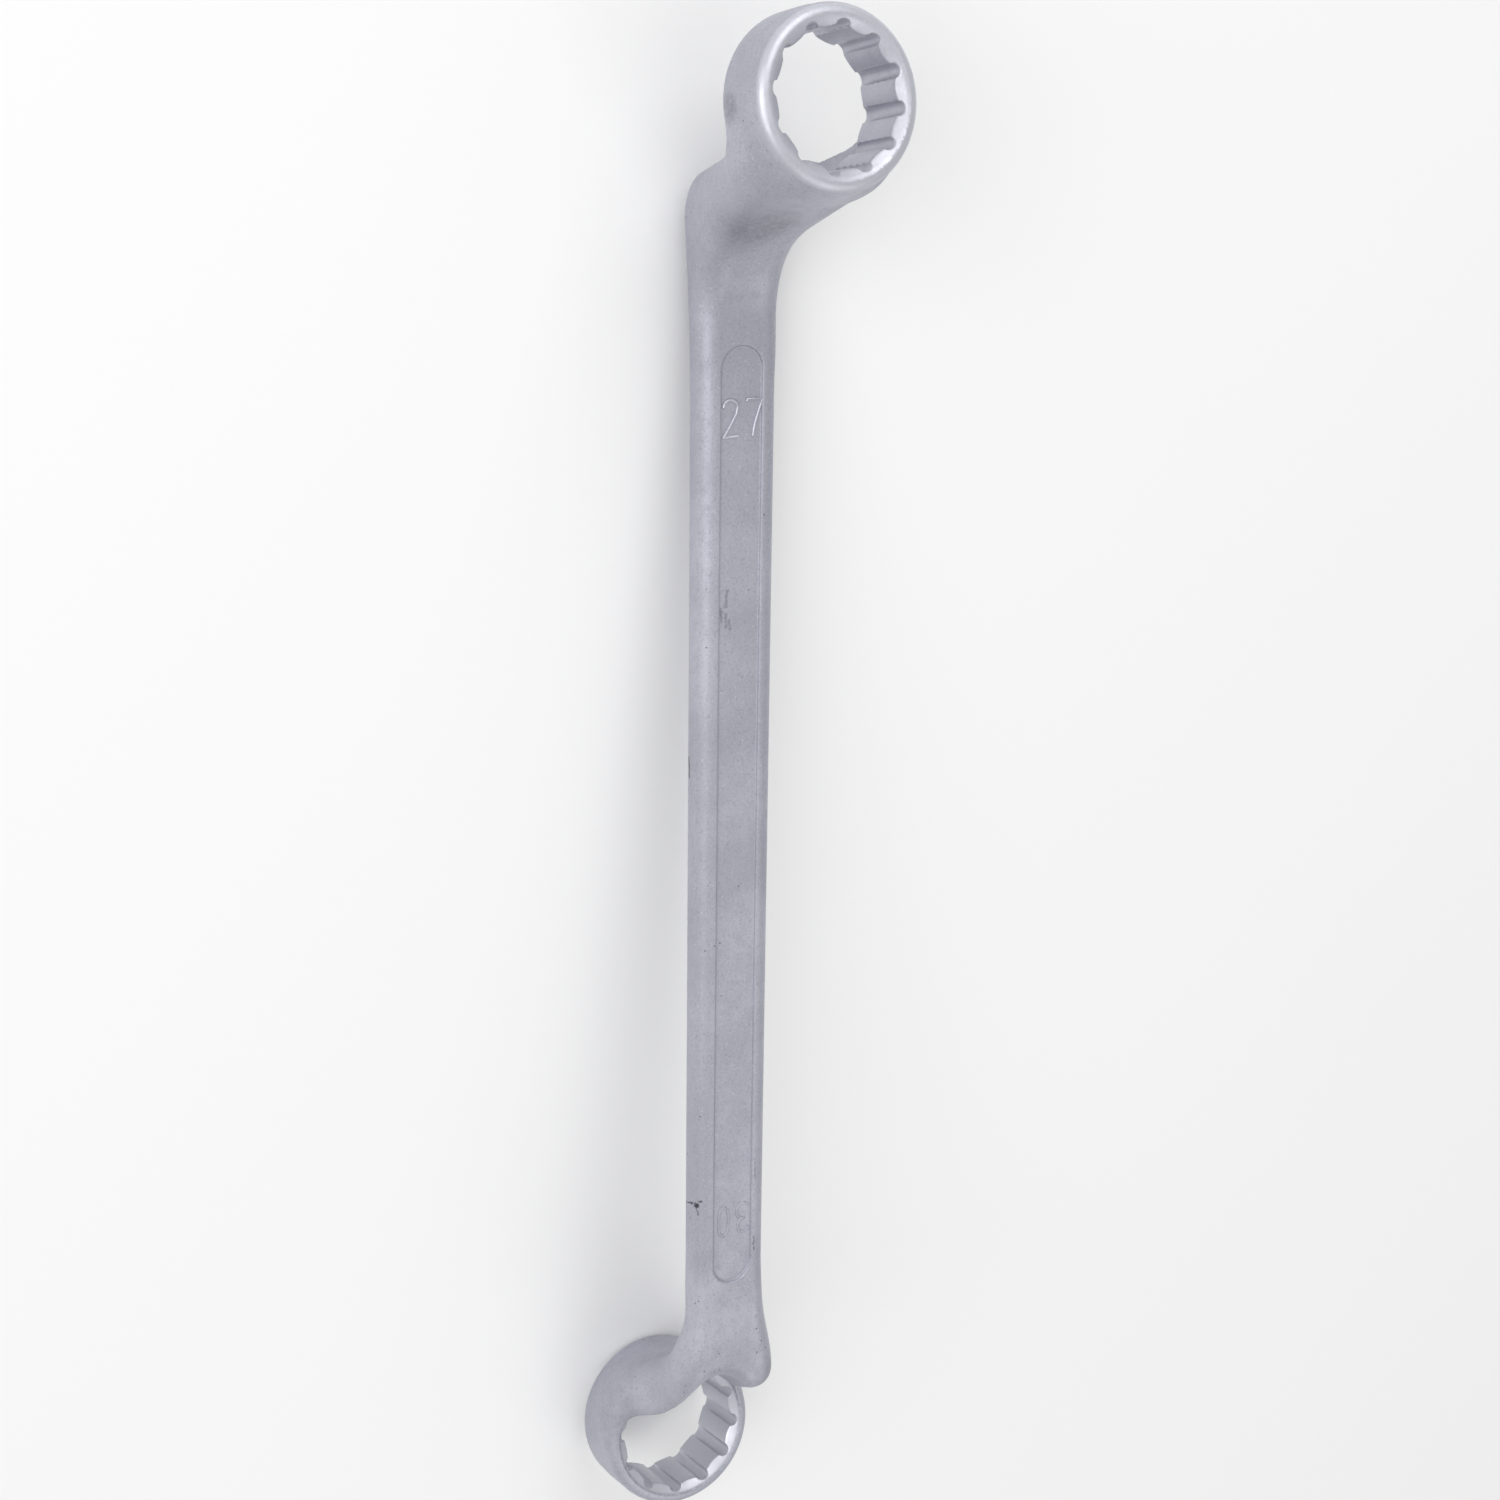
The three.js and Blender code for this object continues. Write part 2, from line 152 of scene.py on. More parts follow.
# Tones of the steel
LIGHT_TONE = (0.505, 0.51, 0.575, 1)
DARK_TONE = (0.432, 0.438, 0.498, 1)
# Lighter tones of the raised 27: worn metal, and partly a painted highlight on its strokes
WORN_AND_HIGHLIGHT_LIGHT_TONE = (0.632, 0.638, 0.705, 1)
WORN_AND_HIGHLIGHT_DARK_TONE = (0.535, 0.541, 0.608, 1)
GRAIN_TONE = (0.286, 0.29, 0.334, 1)
FLECK_TONE = (0.73, 0.735, 0.8, 1)
# Lighter tone of the machined ring faces, also used as painted light on the shaded bore walls
FACE_FINISH_AND_BORE_LIGHT_TONE = (0.68, 0.687, 0.742, 1)
SMUDGE_TONE = (0.243, 0.243, 0.273, 1)
PIT_TONE = (0.07, 0.07, 0.08, 1)

# Finish of the steel, in features per millimetre where it is a scale
METALLIC = 0.72
SATIN_ROUGHNESS = 0.6
WORN_ROUGHNESS = 0.42
ROUGHNESS_SPREAD = 0.1
SMUDGE_ROUGHNESS = 0.12
FACE_POLISH = 0.6
POLISH_ROUGHNESS = 0.2
GRAIN_SCALE = 1.5
MOTTLE_SCALE = 0.32
CLOUD_SCALE = 0.045
FLECK_SCALE = 2.3
STREAK_SCALE = 0.9
PIT_SCALE = 0.8
PIT_RARITY = 0.988
PIT_CROWDING = 0.7
PIT_DARKNESS = 0.7
RAGGED_SCALE = 0.9
RAGGED_REACH = 1.6
MARK_DEPTH = 2.5
MOTTLE_DEPTH = 0.9
BUMP_STRENGTH = 0.5
BUMP_HEIGHT = 0.08

# Dark rubbed patches: where, how wide, how strong
SMUDGES = [
    ((145.5, 4.0, 19.0), 13.0, 0.8),
    ((171.5, 19.0, 32.5), 4.5, 0.8),
    ((-140.0, 2.0, 5.0), 11.0, 0.3),
    ((-168.0, 18.0, -22.0), 13.0, 0.35),
    ((-146.0, -11.0, 3.0), 7.0, 0.4),
    ((-112.0, 7.5, 4.6), 7.0, 0.3),
]

# Patches with more pits: where and how wide
PITTED = [
    ((-139.0, 6.5, 5.8), 8.0),
    ((-137.5, -7.5, 6.0), 5.0),
    ((150.0, -6.0, 28.0), 6.0),
    ((-121.0, 8.0, 4.4), 5.0),
]

# Nicks and scratches: from, to, half-width, how dark
NICKS = [
    ((-96.2, 9.9, -1.4), (-95.1, 9.9, 1.5), 0.35, 0.9),
    ((-95.1, 9.9, 1.5), (-94.1, 8.4, 3.9), 0.3, 0.7),
    ((-95.6, 9.5, 2.5), (-95.3, 9.2, 3.0), 0.75, 1.0),
    ((-95.5, 9.4, 2.7), (-98.0, 9.1, 3.2), 0.3, 0.8),
    ((-99.6, 10.0, 0.7), (-98.3, 7.2, 4.5), 0.35, 0.45),
    ((-82.5, 9.9, -1.2), (-84.0, 9.4, 2.6), 0.35, 0.5),
    ((-85.6, -6.2, 4.7), (-91.2, -6.3, 4.7), 0.3, 0.4),
    ((-106.9, -6.2, 4.7), (-110.8, -6.0, 4.7), 0.4, 0.5),
    ((62.0, 3.0, 4.0), (58.2, 3.3, 4.0), 0.6, 0.35),
    ((57.6, 4.6, 4.0), (54.6, 4.4, 4.0), 0.5, 0.45),
    ((56.6, 3.4, 4.0), (53.2, 3.2, 4.0), 0.6, 0.35),
    ((54.6, 2.5, 4.0), (52.4, 2.1, 4.0), 0.5, 0.3),
    ((20.9, 9.9, -1.6), (16.1, 9.9, -0.9), 0.6, 0.8),
]

# Size numbers: strokes as (across, up, is it a corner) in each figure's box.
# A figure's box is given by its width and its left edge from the middle.
STROKE = 0.75
RELIEF = {"number_27": 1.25, "number_30": 0.65}
TWO = [(0.0, 0.8, 0), (0.14, 0.95, 0), (0.5, 1.0, 0), (0.86, 0.9, 0), (0.9, 0.72, 0),
       (0.62, 0.44, 0), (0.3, 0.2, 0), (0.0, 0.0, 1), (0.95, 0.03, 1)]
SEVEN = [(0.0, 0.94, 1), (0.02, 1.0, 1), (1.0, 1.0, 1), (0.72, 0.62, 0), (0.52, 0.32, 0), (0.4, 0.0, 1)]
THREE = [(0.05, 0.86, 0), (0.3, 0.99, 0), (0.72, 0.97, 0), (0.9, 0.78, 0), (0.72, 0.58, 0),
         (0.4, 0.53, 1), (0.78, 0.46, 0), (1.0, 0.25, 0), (0.74, 0.03, 0), (0.3, 0.0, 0), (0.0, 0.15, 0)]
NOUGHT = [(0.5, 1.0, 0), (0.88, 0.91, 0), (1.0, 0.72, 0), (1.0, 0.28, 0), (0.88, 0.09, 0), (0.5, 0.0, 0),
          (0.12, 0.09, 0), (0.0, 0.28, 0), (0.0, 0.72, 0), (0.12, 0.91, 0), (0.5, 1.0, 0)]

# Camera of the photograph, in the tool's axes
CAMERA_AT = (197.6, 269.35, 485.64)
CAMERA_AIM = (22.62, -3.16, 4.75)
CAMERA_ROLL = math.radians(0.76)
CAMERA_LENS = 58.81
CAMERA_SENSOR = 36.0

# Studio, in metres and watts: floor, sky level and lamps as place, size, power
FLOOR_SIZE = 8
FLOOR_TONE = (0.93, 0.93, 0.93, 1)
SKY_LEVEL = 0.575
LAMPS = {
    "key": ((0.5, 1.4, 1.1), 1.4, 13.1),
    "top": ((1.6, -0.1, 1.1), 1.2, 10.7),
    "fill": ((-1.1, -0.5, 1.4), 1.4, 4.9),
}


def smooth_max(a, b, k):
    """Larger of two fields, with the crease between them rounded over k."""
    h = np.maximum(k - np.abs(a - b), 0.0) / k
    return np.maximum(a, b) + h * h * k * 0.25


def smooth_min(a, b, k):
    """Smaller of two fields, with the crease between them filled over k."""
    return -smooth_max(-a, -b, k)


def rounded(a, b, r):
    """Where two slabs meet at right angles, with an outer edge of radius r."""
    outside = np.hypot(np.maximum(a + r, 0.0), np.maximum(b + r, 0.0))
    return outside + np.minimum(np.maximum(a + r, b + r), 0.0) - r


def ease(t):
    """Smooth step from 0 to 1."""
    t = np.clip(t, 0.0, 1.0)
    return t * t * (3.0 - 2.0 * t)


def bore_law(flats):
    """Radius of the twelve-point bore against the angle from a groove."""
    groove = flats / 2 / math.cos(math.pi / 6) + CORNER_PLAY
    crest = flats / 2 / math.cos(math.pi / POINTS) + CREST_PLAY
    edge = crest + LAND_CROWN
    pitch = 2 * math.pi / POINTS
    half = GROOVE_SHARE * pitch / 2
    angle = np.linspace(0.0, pitch / 2, BORE_SAMPLES)
    s = np.clip(angle / half, 0.0, 1.0)
    land = np.clip((pitch / 2 - angle) / (pitch / 2 - half), 0.0, 1.0)
    radius = np.where(
        angle < half,
        edge + (groove - edge) * np.sqrt(1.0 - s * s),
        crest + LAND_CROWN * land * land,
    )
    return groove, pitch, angle, radius


def heel_field(heel, proud, drop, u, v):
    """Side view of the bar's back: shank, rounded heel and back of the neck."""
    corner, bulge, beta = heel
    back = -HALF_THICK - proud
    behind = -v - HALF_THICK - drop
    beyond = (u - corner) * math.sin(beta) - (v - back) * math.cos(beta)
    cu, cv = u - corner + bulge * math.tan(beta / 2), v - back - bulge
    in_heel = (cu > 0) & (cu * math.cos(beta) + cv * math.sin(beta) < 0)
    return np.where(in_heel, np.hypot(cu, cv) - bulge, np.maximum(behind, beyond))


def bar_field(end, u, y, v):
    """Flat bar that bends into the neck, as a side view given width."""
    theta, radius, start = end["throat_angle"], end["throat_radius"], end["throat_start"]
    proud = end["heel_drop"]
    full = min(corner - bulge * math.tan(beta / 2) for corner, bulge, beta in end["heels"])
    drop = proud * ease((u - SHANK_END + HEEL_RUN) / (full - SHANK_END + HEEL_RUN))
    far, near = (heel_field(heel, proud, drop, u, v) for heel in end["heels"])
    outer = far + (near - far) * ease(y / CROSS_RUN + 0.5)

    pu, pv = u - start, v - HALF_THICK - radius
    along = pu * math.cos(theta) + pv * math.sin(theta)
    above = -pv - radius
    before = pu * math.sin(theta) - pv * math.cos(theta) - radius
    in_throat = (pu > 0) & (along < 0)
    void = np.where(in_throat, np.hypot(pu, pv) - radius, np.maximum(above, before))
    side_view = np.maximum(outer, -void)

    middle = radius + HALF_THICK
    phi = np.clip(np.arctan2(pu, -pv), 0, theta)
    s = np.where(pu <= 0, pu, np.where(along < 0, middle * phi, middle * theta + along))
    stops, widths = zip(*end["half_widths"])
    table = np.linspace(stops[0] - WIDTH_MARGIN, stops[-1] + WIDTH_MARGIN, WIDTH_SAMPLES)
    spread = np.interp(table, stops, widths)
    kernel = np.hanning(WIDTH_KERNEL)
    padded = np.pad(spread, WIDTH_KERNEL // 2, mode="edge")
    spread = np.convolve(padded, kernel / kernel.sum(), mode="valid")
    half_width = np.interp(s, table, spread)
    neck_edge = HEEL_EDGE + (THROAT_EDGE - HEEL_EDGE) * ease(0.5 - (void + outer) / NECK_RUN)
    edge = SHANK_EDGE + (neck_edge - SHANK_EDGE) * ease((s + EDGE_START) / EDGE_RUN)
    return rounded(side_view, np.abs(y) - half_width, edge)


def ring_axes(end, u, v):
    """Side view turned to the ring: outwards across it and up along its axis."""
    c, s = math.cos(HEAD_TILT), math.sin(HEAD_TILT)
    du, dv = u - end["reach"], v - end["offset"]
    return du * c - dv * s, du * s + dv * c


def hollow_field(end, u, y, v, groove):
    """Slanting cone from the bore to the heel, negative inside the hollow."""
    c, sn = math.cos(HEAD_TILT), math.sin(HEAD_TILT)
    half = end["ring_height"] / 2
    low = -HALF_THICK - end["heel_drop"]
    high = end["offset"] + groove * sn - half * c
    wide = HOLLOW_SHARE * groove
    narrow = end["hollow_radius"]
    foot = end["hollow_foot"] + narrow
    head = end["reach"] - groove * c - half * sn + wide
    share = (v - low) / (high - low)
    centre = foot + (head - foot) * share
    radius = narrow + (wide - narrow) * share
    aside = end["hollow_aside"] * (1.0 - share)
    lean = math.hypot(1.0, (wide - narrow - head + foot) / (high - low))
    return (np.hypot(u - centre, y - aside) - radius) / lean


def head_field(end, u, y, v, bar):
    """Ring joined to the neck, hollowed, bored and countersunk."""
    groove, pitch, angles, radii = bore_law(end["flats"])
    out, t = ring_axes(end, u, v)
    rho = np.hypot(out, y)
    half = end["ring_height"] / 2
    ring = rounded(rho - end["ring_radius"], np.abs(t) - half, end["ring_edge"])
    hollow = hollow_field(end, u, y, v, groove)
    neck = smooth_max(bar, -hollow, end["hollow_blend"])
    neck = smooth_max(neck, t + NECK_TOP, NECK_BLEND)
    core = smooth_max(ring, t - half + LIP, LIP)
    body = smooth_min(smooth_min(neck, core, RING_BLEND), ring, LIP_BLEND)

    around = np.arctan2(y, out) - end["phase"]
    folded = np.abs((around + pitch / 2) % pitch - pitch / 2)
    wall = np.interp(folded, angles, radii) - rho
    mouth = groove + MOUTH_CLEARANCE
    cs, sn = math.cos(MOUTH_SLOPE), math.sin(MOUTH_SLOPE)
    sink = np.minimum((mouth - rho) * sn + (np.abs(t) - half) * cs, mouth - rho)
    wall = smooth_max(wall, sink, BORE_BLEND)
    wall = wall - RUN_OUT_SLOPE * np.maximum(-half - RUN_OUT - t, 0.0)
    return smooth_max(body, wall, BORE_BLEND)


def panel_field(u, y, v, bar):
    """Takes the two sunk panels out of the shank."""
    straight = PANEL_HALF_LENGTH - PANEL_HALF_WIDTH
    inside = np.hypot(np.maximum(np.abs(u) - straight, 0.0), y) - PANEL_HALF_WIDTH
    floor = HALF_THICK - PANEL_DEPTH - np.abs(v)
    recess = smooth_max(inside + PANEL_WALL_SLOPE * (floor + PANEL_DEPTH), floor, PANEL_FLOOR_BLEND)
    return smooth_max(bar, -recess, PANEL_BLEND)


def forging_field(p):
    """The forging's field at points of the tool's axes."""
    x, y, z = p[..., 0], p[..., 1], p[..., 2]
    front = x >= 0
    result = np.empty(x.shape, dtype=x.dtype)
    for end in (END_27, END_30):
        mine = front if end["side"] > 0 else ~front
        if not mine.any():
            continue
        u, v, w = x[mine] * end["side"], z[mine] * end["side"], y[mine]
        bar = bar_field(end, u, w, v)
        far = u > SHANK_END - HEAD_OVERLAP
        if far.any():
            bar[far] = head_field(end, u[far], w[far], v[far], bar[far])
        near = ~far
        if near.any():
            bar[near] = panel_field(u[near], w[near], v[near], bar[near])
        result[mine] = bar
    return result


def grid_lines():
    """Lines of the grid, close together at the heads, and where those start."""
    heads_from = SHANK_END - FINE_OVERLAP
    end_27 = np.arange(heads_from, GRID_END_27, HEAD_STEP)
    end_30 = -np.arange(heads_from, GRID_END_30, HEAD_STEP)[::-1]
    steps = int(2 * heads_from / SHANK_STEP)
    shank = np.linspace(-heads_from, heads_from, steps + 1)[1:-1]
    x = np.concatenate([end_30, shank, end_27])
    y = np.arange(-GRID_HALF_WIDTH, GRID_HALF_WIDTH + 0.1, HEAD_STEP)
    z = np.arange(GRID_LOW, GRID_HIGH, HEAD_STEP)
    return x, y, z, heads_from


def sample(x, y, z, heads_from):
    """The field on the grid, worked out only where the tool can be."""
    field = np.full((len(x), len(y), len(z)), EMPTY, dtype=np.float32)
    head_wide = np.abs(y) < HEAD_HALF_WIDTH
    ranges = [
        (x >= heads_from, head_wide, (z > HEIGHTS_27[0]) & (z < HEIGHTS_27[1])),
        (x <= -heads_from, head_wide, (z > HEIGHTS_30[0]) & (z < HEIGHTS_30[1])),
        (np.abs(x) < heads_from, np.abs(y) < SHANK_SPACE[0], np.abs(z) < SHANK_SPACE[1]),
    ]
    for mx, my, mz in ranges:
        block = np.ix_(np.where(mx)[0], np.where(my)[0], np.where(mz)[0])
        gx, gy, gz = np.meshgrid(x[mx], y[my], z[mz], indexing="ij")
        points = np.stack([gx, gy, gz], axis=-1).astype(np.float32)
        field[block] = forging_field(points)
    return field


def surface_net(field, x, y, z):
    """One vertex in each grid cell that the surface crosses, joined by quads."""
    inside = field < 0
    counts = np.zeros(tuple(n - 1 for n in field.shape), dtype=np.int8)
    corners = [(i, j, k) for i in (0, 1) for j in (0, 1) for k in (0, 1)]
    nx, ny, nz = counts.shape
    for i, j, k in corners:
        counts += inside[i:nx + i, j:ny + j, k:nz + k]
    cells = np.argwhere((counts > 0) & (counts < 8))
    index = np.full(counts.shape, -1, dtype=np.int32)
    index[tuple(cells.T)] = np.arange(len(cells))
    value = {c: field[tuple((cells + c).T)].astype(np.float64) for c in corners}
    lines = (x, y, z)
    place = {
        c: np.stack([lines[a][cells[:, a] + c[a]] for a in range(3)], axis=1) for c in corners
    }
    total = np.zeros((len(cells), 3))
    hits = np.zeros(len(cells))
    for a in corners:
        for axis in range(3):
            if a[axis]:
                continue
            b = tuple(1 if n == axis else a[n] for n in range(3))
            crossed = (value[a] < 0) != (value[b] < 0)
            t = np.where(crossed, value[a] / np.where(crossed, value[a] - value[b], 1.0), 0.0)
            point = place[a] + (place[b] - place[a]) * t[:, None]
            total += np.where(crossed[:, None], point, 0.0)
            hits += crossed
    verts = total / hits[:, None]
    quads = []
    for axis in range(3):
        p, q = (axis + 1) % 3, (axis + 2) % 3
        low = [slice(None)] * 3
        high = [slice(None)] * 3
        low[axis], high[axis] = slice(0, -1), slice(1, None)
        a, b = inside[tuple(low)], inside[tuple(high)]
        edges = np.argwhere(a != b)
        edges = edges[(edges[:, p] > 0) & (edges[:, q] > 0)]
        ring = []
        for dp, dq in ((-1, -1), (0, -1), (0, 0), (-1, 0)):
            cell = edges.copy()
            cell[:, p] += dp
            cell[:, q] += dq
            ring.append(index[tuple(cell.T)])
        quad = np.stack(ring, axis=1)
        leaving = a[tuple(edges.T)]
        quad[~leaving] = quad[~leaving][:, ::-1]
        quads.append(quad)
    return verts, np.concatenate(quads)


def slope(points):
    """Gradient of the field at the points."""
    result = np.empty_like(points)
    for axis in range(3):
        shift = np.zeros(3)
        shift[axis] = PROBE
        rise = forging_field(points + shift) - forging_field(points - shift)
        result[:, axis] = rise / (2 * PROBE)
    return result


def settle(verts):
    """Moves the vertices onto the surface and gives the surface's normals."""
    for _ in range(2):
        gradient = slope(verts)
        steep = np.maximum((gradient ** 2).sum(axis=1), 0.15)
        move = -(forging_field(verts) / steep)[:, None] * gradient
        size = np.linalg.norm(move, axis=1, keepdims=True)
        verts = verts + move * np.minimum(1.0, 0.5 * HEAD_STEP / np.maximum(size, 1e-9))
    normals = slope(verts)
    return verts, normals / np.linalg.norm(normals, axis=1, keepdims=True)


def tool_to_row():
    """Where the tool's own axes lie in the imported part, read off the shank."""
    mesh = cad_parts["shank"].data
    points = np.empty(len(mesh.vertices) * 3)
    mesh.vertices.foreach_get("co", points)
    points = points.reshape(-1, 3)
    low, high = points.min(axis=0), points.max(axis=0)
    middle = (low + high) / 2
    spread = points - middle
    _, vectors = np.linalg.eigh(spread.T @ spread)
    along = vectors[:, -1] * np.sign(vectors[0, -1])
    tip = math.atan2(-along[2], along[0])
    return Matrix.Translation(Vector(middle)) @ Matrix.Rotation(tip, 4, "Y") @ Matrix.Scale(MM, 4)


PLACE = tool_to_row()


def build_forging():
    """The whole forging as one smooth mesh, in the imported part's frame."""
    x, y, z, heads_from = grid_lines()
    field = sample(x, y, z, heads_from)
    verts, quads = surface_net(field, x, y, z)
    verts, normals = settle(verts)
    mesh = bpy.data.meshes.new("forging")
    mesh.from_pydata(verts.tolist(), [], quads.tolist())
    mesh.validate()
    mesh.transform(PLACE)
    turn = np.array(PLACE.to_3x3()) / MM
    normals = normals @ turn.T
    mesh.shade_smooth()
    mesh.normals_split_custom_set_from_vertices(normals.tolist())
    obj = bpy.data.objects.new("forging", mesh)
    bpy.context.collection.objects.link(obj)
    return obj


class Tree:
    """Small helper that adds shader nodes and links them."""

    def __init__(self, mat):
        mat.use_nodes = True
        self.nodes = mat.node_tree.nodes
        self.links = mat.node_tree.links
        self.shader = self.nodes["Principled BSDF"]

    def node(self, kind, inputs=None, **settings):
        made = self.nodes.new(kind)
        for name, value in settings.items():
            setattr(made, name, value)
        for name, value in (inputs or {}).items():
            self.feed(made, name, value)
        return made

    def feed(self, node, name, value):
        socket = node.inputs[name]
        if isinstance(value, bpy.types.NodeSocket):
            self.links.new(value, socket)
        else:
            socket.default_value = value

    def math(self, operation, a, b):
        return self.node("ShaderNodeMath", {0: a, 1: b}, operation=operation).outputs[0]

    def vector(self, operation, a, b):
        """Sum or difference of two vectors, or the number that a product or distance is."""
        made = self.node("ShaderNodeVectorMath", {0: a, 1: b}, operation=operation)
        gives_number = operation in ("DOT_PRODUCT", "DISTANCE")
        return made.outputs["Value" if gives_number else "Vector"]

    def scaled(self, vector, factor):
        made = self.node("ShaderNodeVectorMath", {0: vector, "Scale": factor}, operation="SCALE")
        return made.outputs["Vector"]

    def noise(self, place, scale, detail, rough=0.5):
        made = self.node("ShaderNodeTexNoise", {
            "Vector": place, "Scale": scale, "Detail": detail, "Roughness": rough,
        })
        return made.outputs["Fac"]

    def band(self, value, low, high, bottom=0.0, top=1.0):
        """Smooth step from bottom to top while the value goes from low to high."""
        made = self.node("ShaderNodeMapRange", {
            "Value": value, "From Min": low, "From Max": high, "To Min": bottom, "To Max": top,
        }, interpolation_type="SMOOTHSTEP")
        return made.outputs["Result"]

    def near(self, place, spot, size):
        """One at a spot of the tool's axes, falling to nothing at a distance."""
        at = tuple(PLACE @ Vector(spot) / MM)
        away = self.vector("DISTANCE", place, at)
        return self.band(away, size * 0.25, size, 1.0, 0.0)

    def line(self, place, start, end, size):
        """One between two spots of the tool's axes, falling to nothing beside."""
        start = PLACE @ Vector(start) / MM
        run = PLACE @ Vector(end) / MM - start
        offset = self.vector("SUBTRACT", place, tuple(start))
        share = self.vector("DOT_PRODUCT", offset, tuple(run / run.length_squared))
        share = self.math("MINIMUM", self.math("MAXIMUM", share, 0.0), 1.0)
        foot = self.scaled(tuple(run), share)
        away = self.vector("DISTANCE", offset, foot)
        return self.band(away, size * 0.3, size, 1.0, 0.0)

    def ring_face_and_bore(self, place, end):
        """Masks of the ring's machined outer face and of its bore, whose walls get painted light against
        their shade.
        """
        side = end["side"]
        centre = tuple(PLACE @ Vector((end["reach"] * side, 0, end["offset"] * side)) / MM)
        axis = PLACE.to_3x3() @ Vector((math.sin(HEAD_TILT), 0, math.cos(HEAD_TILT))) * side / MM
        offset = self.vector("SUBTRACT", place, centre)
        height = self.vector("DOT_PRODUCT", offset, tuple(axis))
        beside = self.vector("DISTANCE", offset, self.scaled(tuple(axis), height))
        half = end["ring_height"] / 2
        groove = bore_law(end["flats"])[0]
        face = self.band(height, half - 2.0, half - 0.6)
        face = self.math("MULTIPLY", face, self.band(beside, 24.0, 26.0, 1.0, 0.0))
        bore = self.band(beside, groove + 0.1, groove + 0.6, 1.0, 0.0)
        bore = self.math("MULTIPLY", bore, self.band(height, -half - 1.0, -half + 1.0))
        bore = self.math("MULTIPLY", bore, self.band(height, half, half + 1.0, 1.0, 0.0))
        return face, bore

    def blend(self, factor, a, b):
        made = self.node("ShaderNodeMix", data_type="RGBA")
        self.feed(made, 0, factor)
        self.feed(made, 6, a)
        self.feed(made, 7, b)
        return made.outputs[2]


def blasted_tone(tree, place, grain, mottle, dark, light):
    """Colour of the blasted steel before wear: clouds, mottle, grain and flecks."""
    clouds = tree.noise(place, CLOUD_SCALE, 3.0, 0.5)
    flecks = tree.noise(place, FLECK_SCALE, 2.0)
    tone = tree.blend(tree.band(clouds, 0.32, 0.68), dark, light)
    tone = tree.blend(tree.band(mottle, 0.5, 0.74, 0.0, 0.5), tone, dark)
    tone = tree.blend(tree.band(grain, 0.48, 0.78, 0.0, 0.6), tone, GRAIN_TONE)
    return tree.blend(tree.band(flecks, 0.6, 0.74, 0.0, 0.5), tone, FLECK_TONE)


def smudge_mask(tree, place):
    """Dark rubbed patches, broken up by streaks."""
    smudge = 0.0
    for spot, size, depth in SMUDGES:
        patch = tree.math("MULTIPLY", tree.near(place, spot, size), depth)
        smudge = tree.math("MAXIMUM", patch, smudge)
    streaks = tree.noise(place, STREAK_SCALE, 6.0, 0.75)
    return tree.math("MULTIPLY", smudge, tree.band(streaks, 0.1, 0.8))


def pit_mask(tree, place):
    """Round pits, rare everywhere and crowded in the pitted patches."""
    cells = tree.node("ShaderNodeTexVoronoi", {"Vector": place, "Scale": PIT_SCALE, "Randomness": 1.0})
    pit = tree.band(cells.outputs["Distance"], 0.08, 0.24, 1.0, 0.0)
    rare = tree.node("ShaderNodeSeparateColor", {"Color": cells.outputs["Color"]}).outputs["Red"]
    crowd = 0.0
    for spot, size in PITTED:
        crowd = tree.math("MAXIMUM", tree.near(place, spot, size), crowd)
    limit = tree.math("SUBTRACT", PIT_RARITY, tree.math("MULTIPLY", crowd, PIT_CROWDING))
    return tree.math("MULTIPLY", pit, tree.math("GREATER_THAN", rare, limit))


def nick_mask(tree, place):
    """Ragged nicks and scratches."""
    ragged = tree.node("ShaderNodeTexNoise", {"Vector": place, "Scale": RAGGED_SCALE, "Detail": 3.0})
    ragged = tree.vector("ADD", ragged.outputs["Color"], (-0.5, -0.5, -0.5))
    ragged = tree.vector("ADD", tree.scaled(ragged, RAGGED_REACH), place)
    nick = 0.0
    for start, end, size, depth in NICKS:
        mark = tree.math("MULTIPLY", tree.line(ragged, start, end, size), depth)
        nick = tree.math("MAXIMUM", mark, nick)
    return nick


def face_finish_and_bore_light_mask(tree, place):
    """Smoother, lighter metal on the rings' machined faces; in their bores smoother metal painted
    lighter, painted light that lifts the shade inside.
    """
    finish_and_bore_light = 0.0
    for end in (END_27, END_30):
        face, bore = tree.ring_face_and_bore(place, end)
        finish_and_bore_light = tree.math("MAXIMUM", tree.math("MULTIPLY", face, FACE_POLISH), finish_and_bore_light)
        finish_and_bore_light = tree.math("MAXIMUM", tree.math("MULTIPLY", bore, end["bore_light"]), finish_and_bore_light)
    return finish_and_bore_light


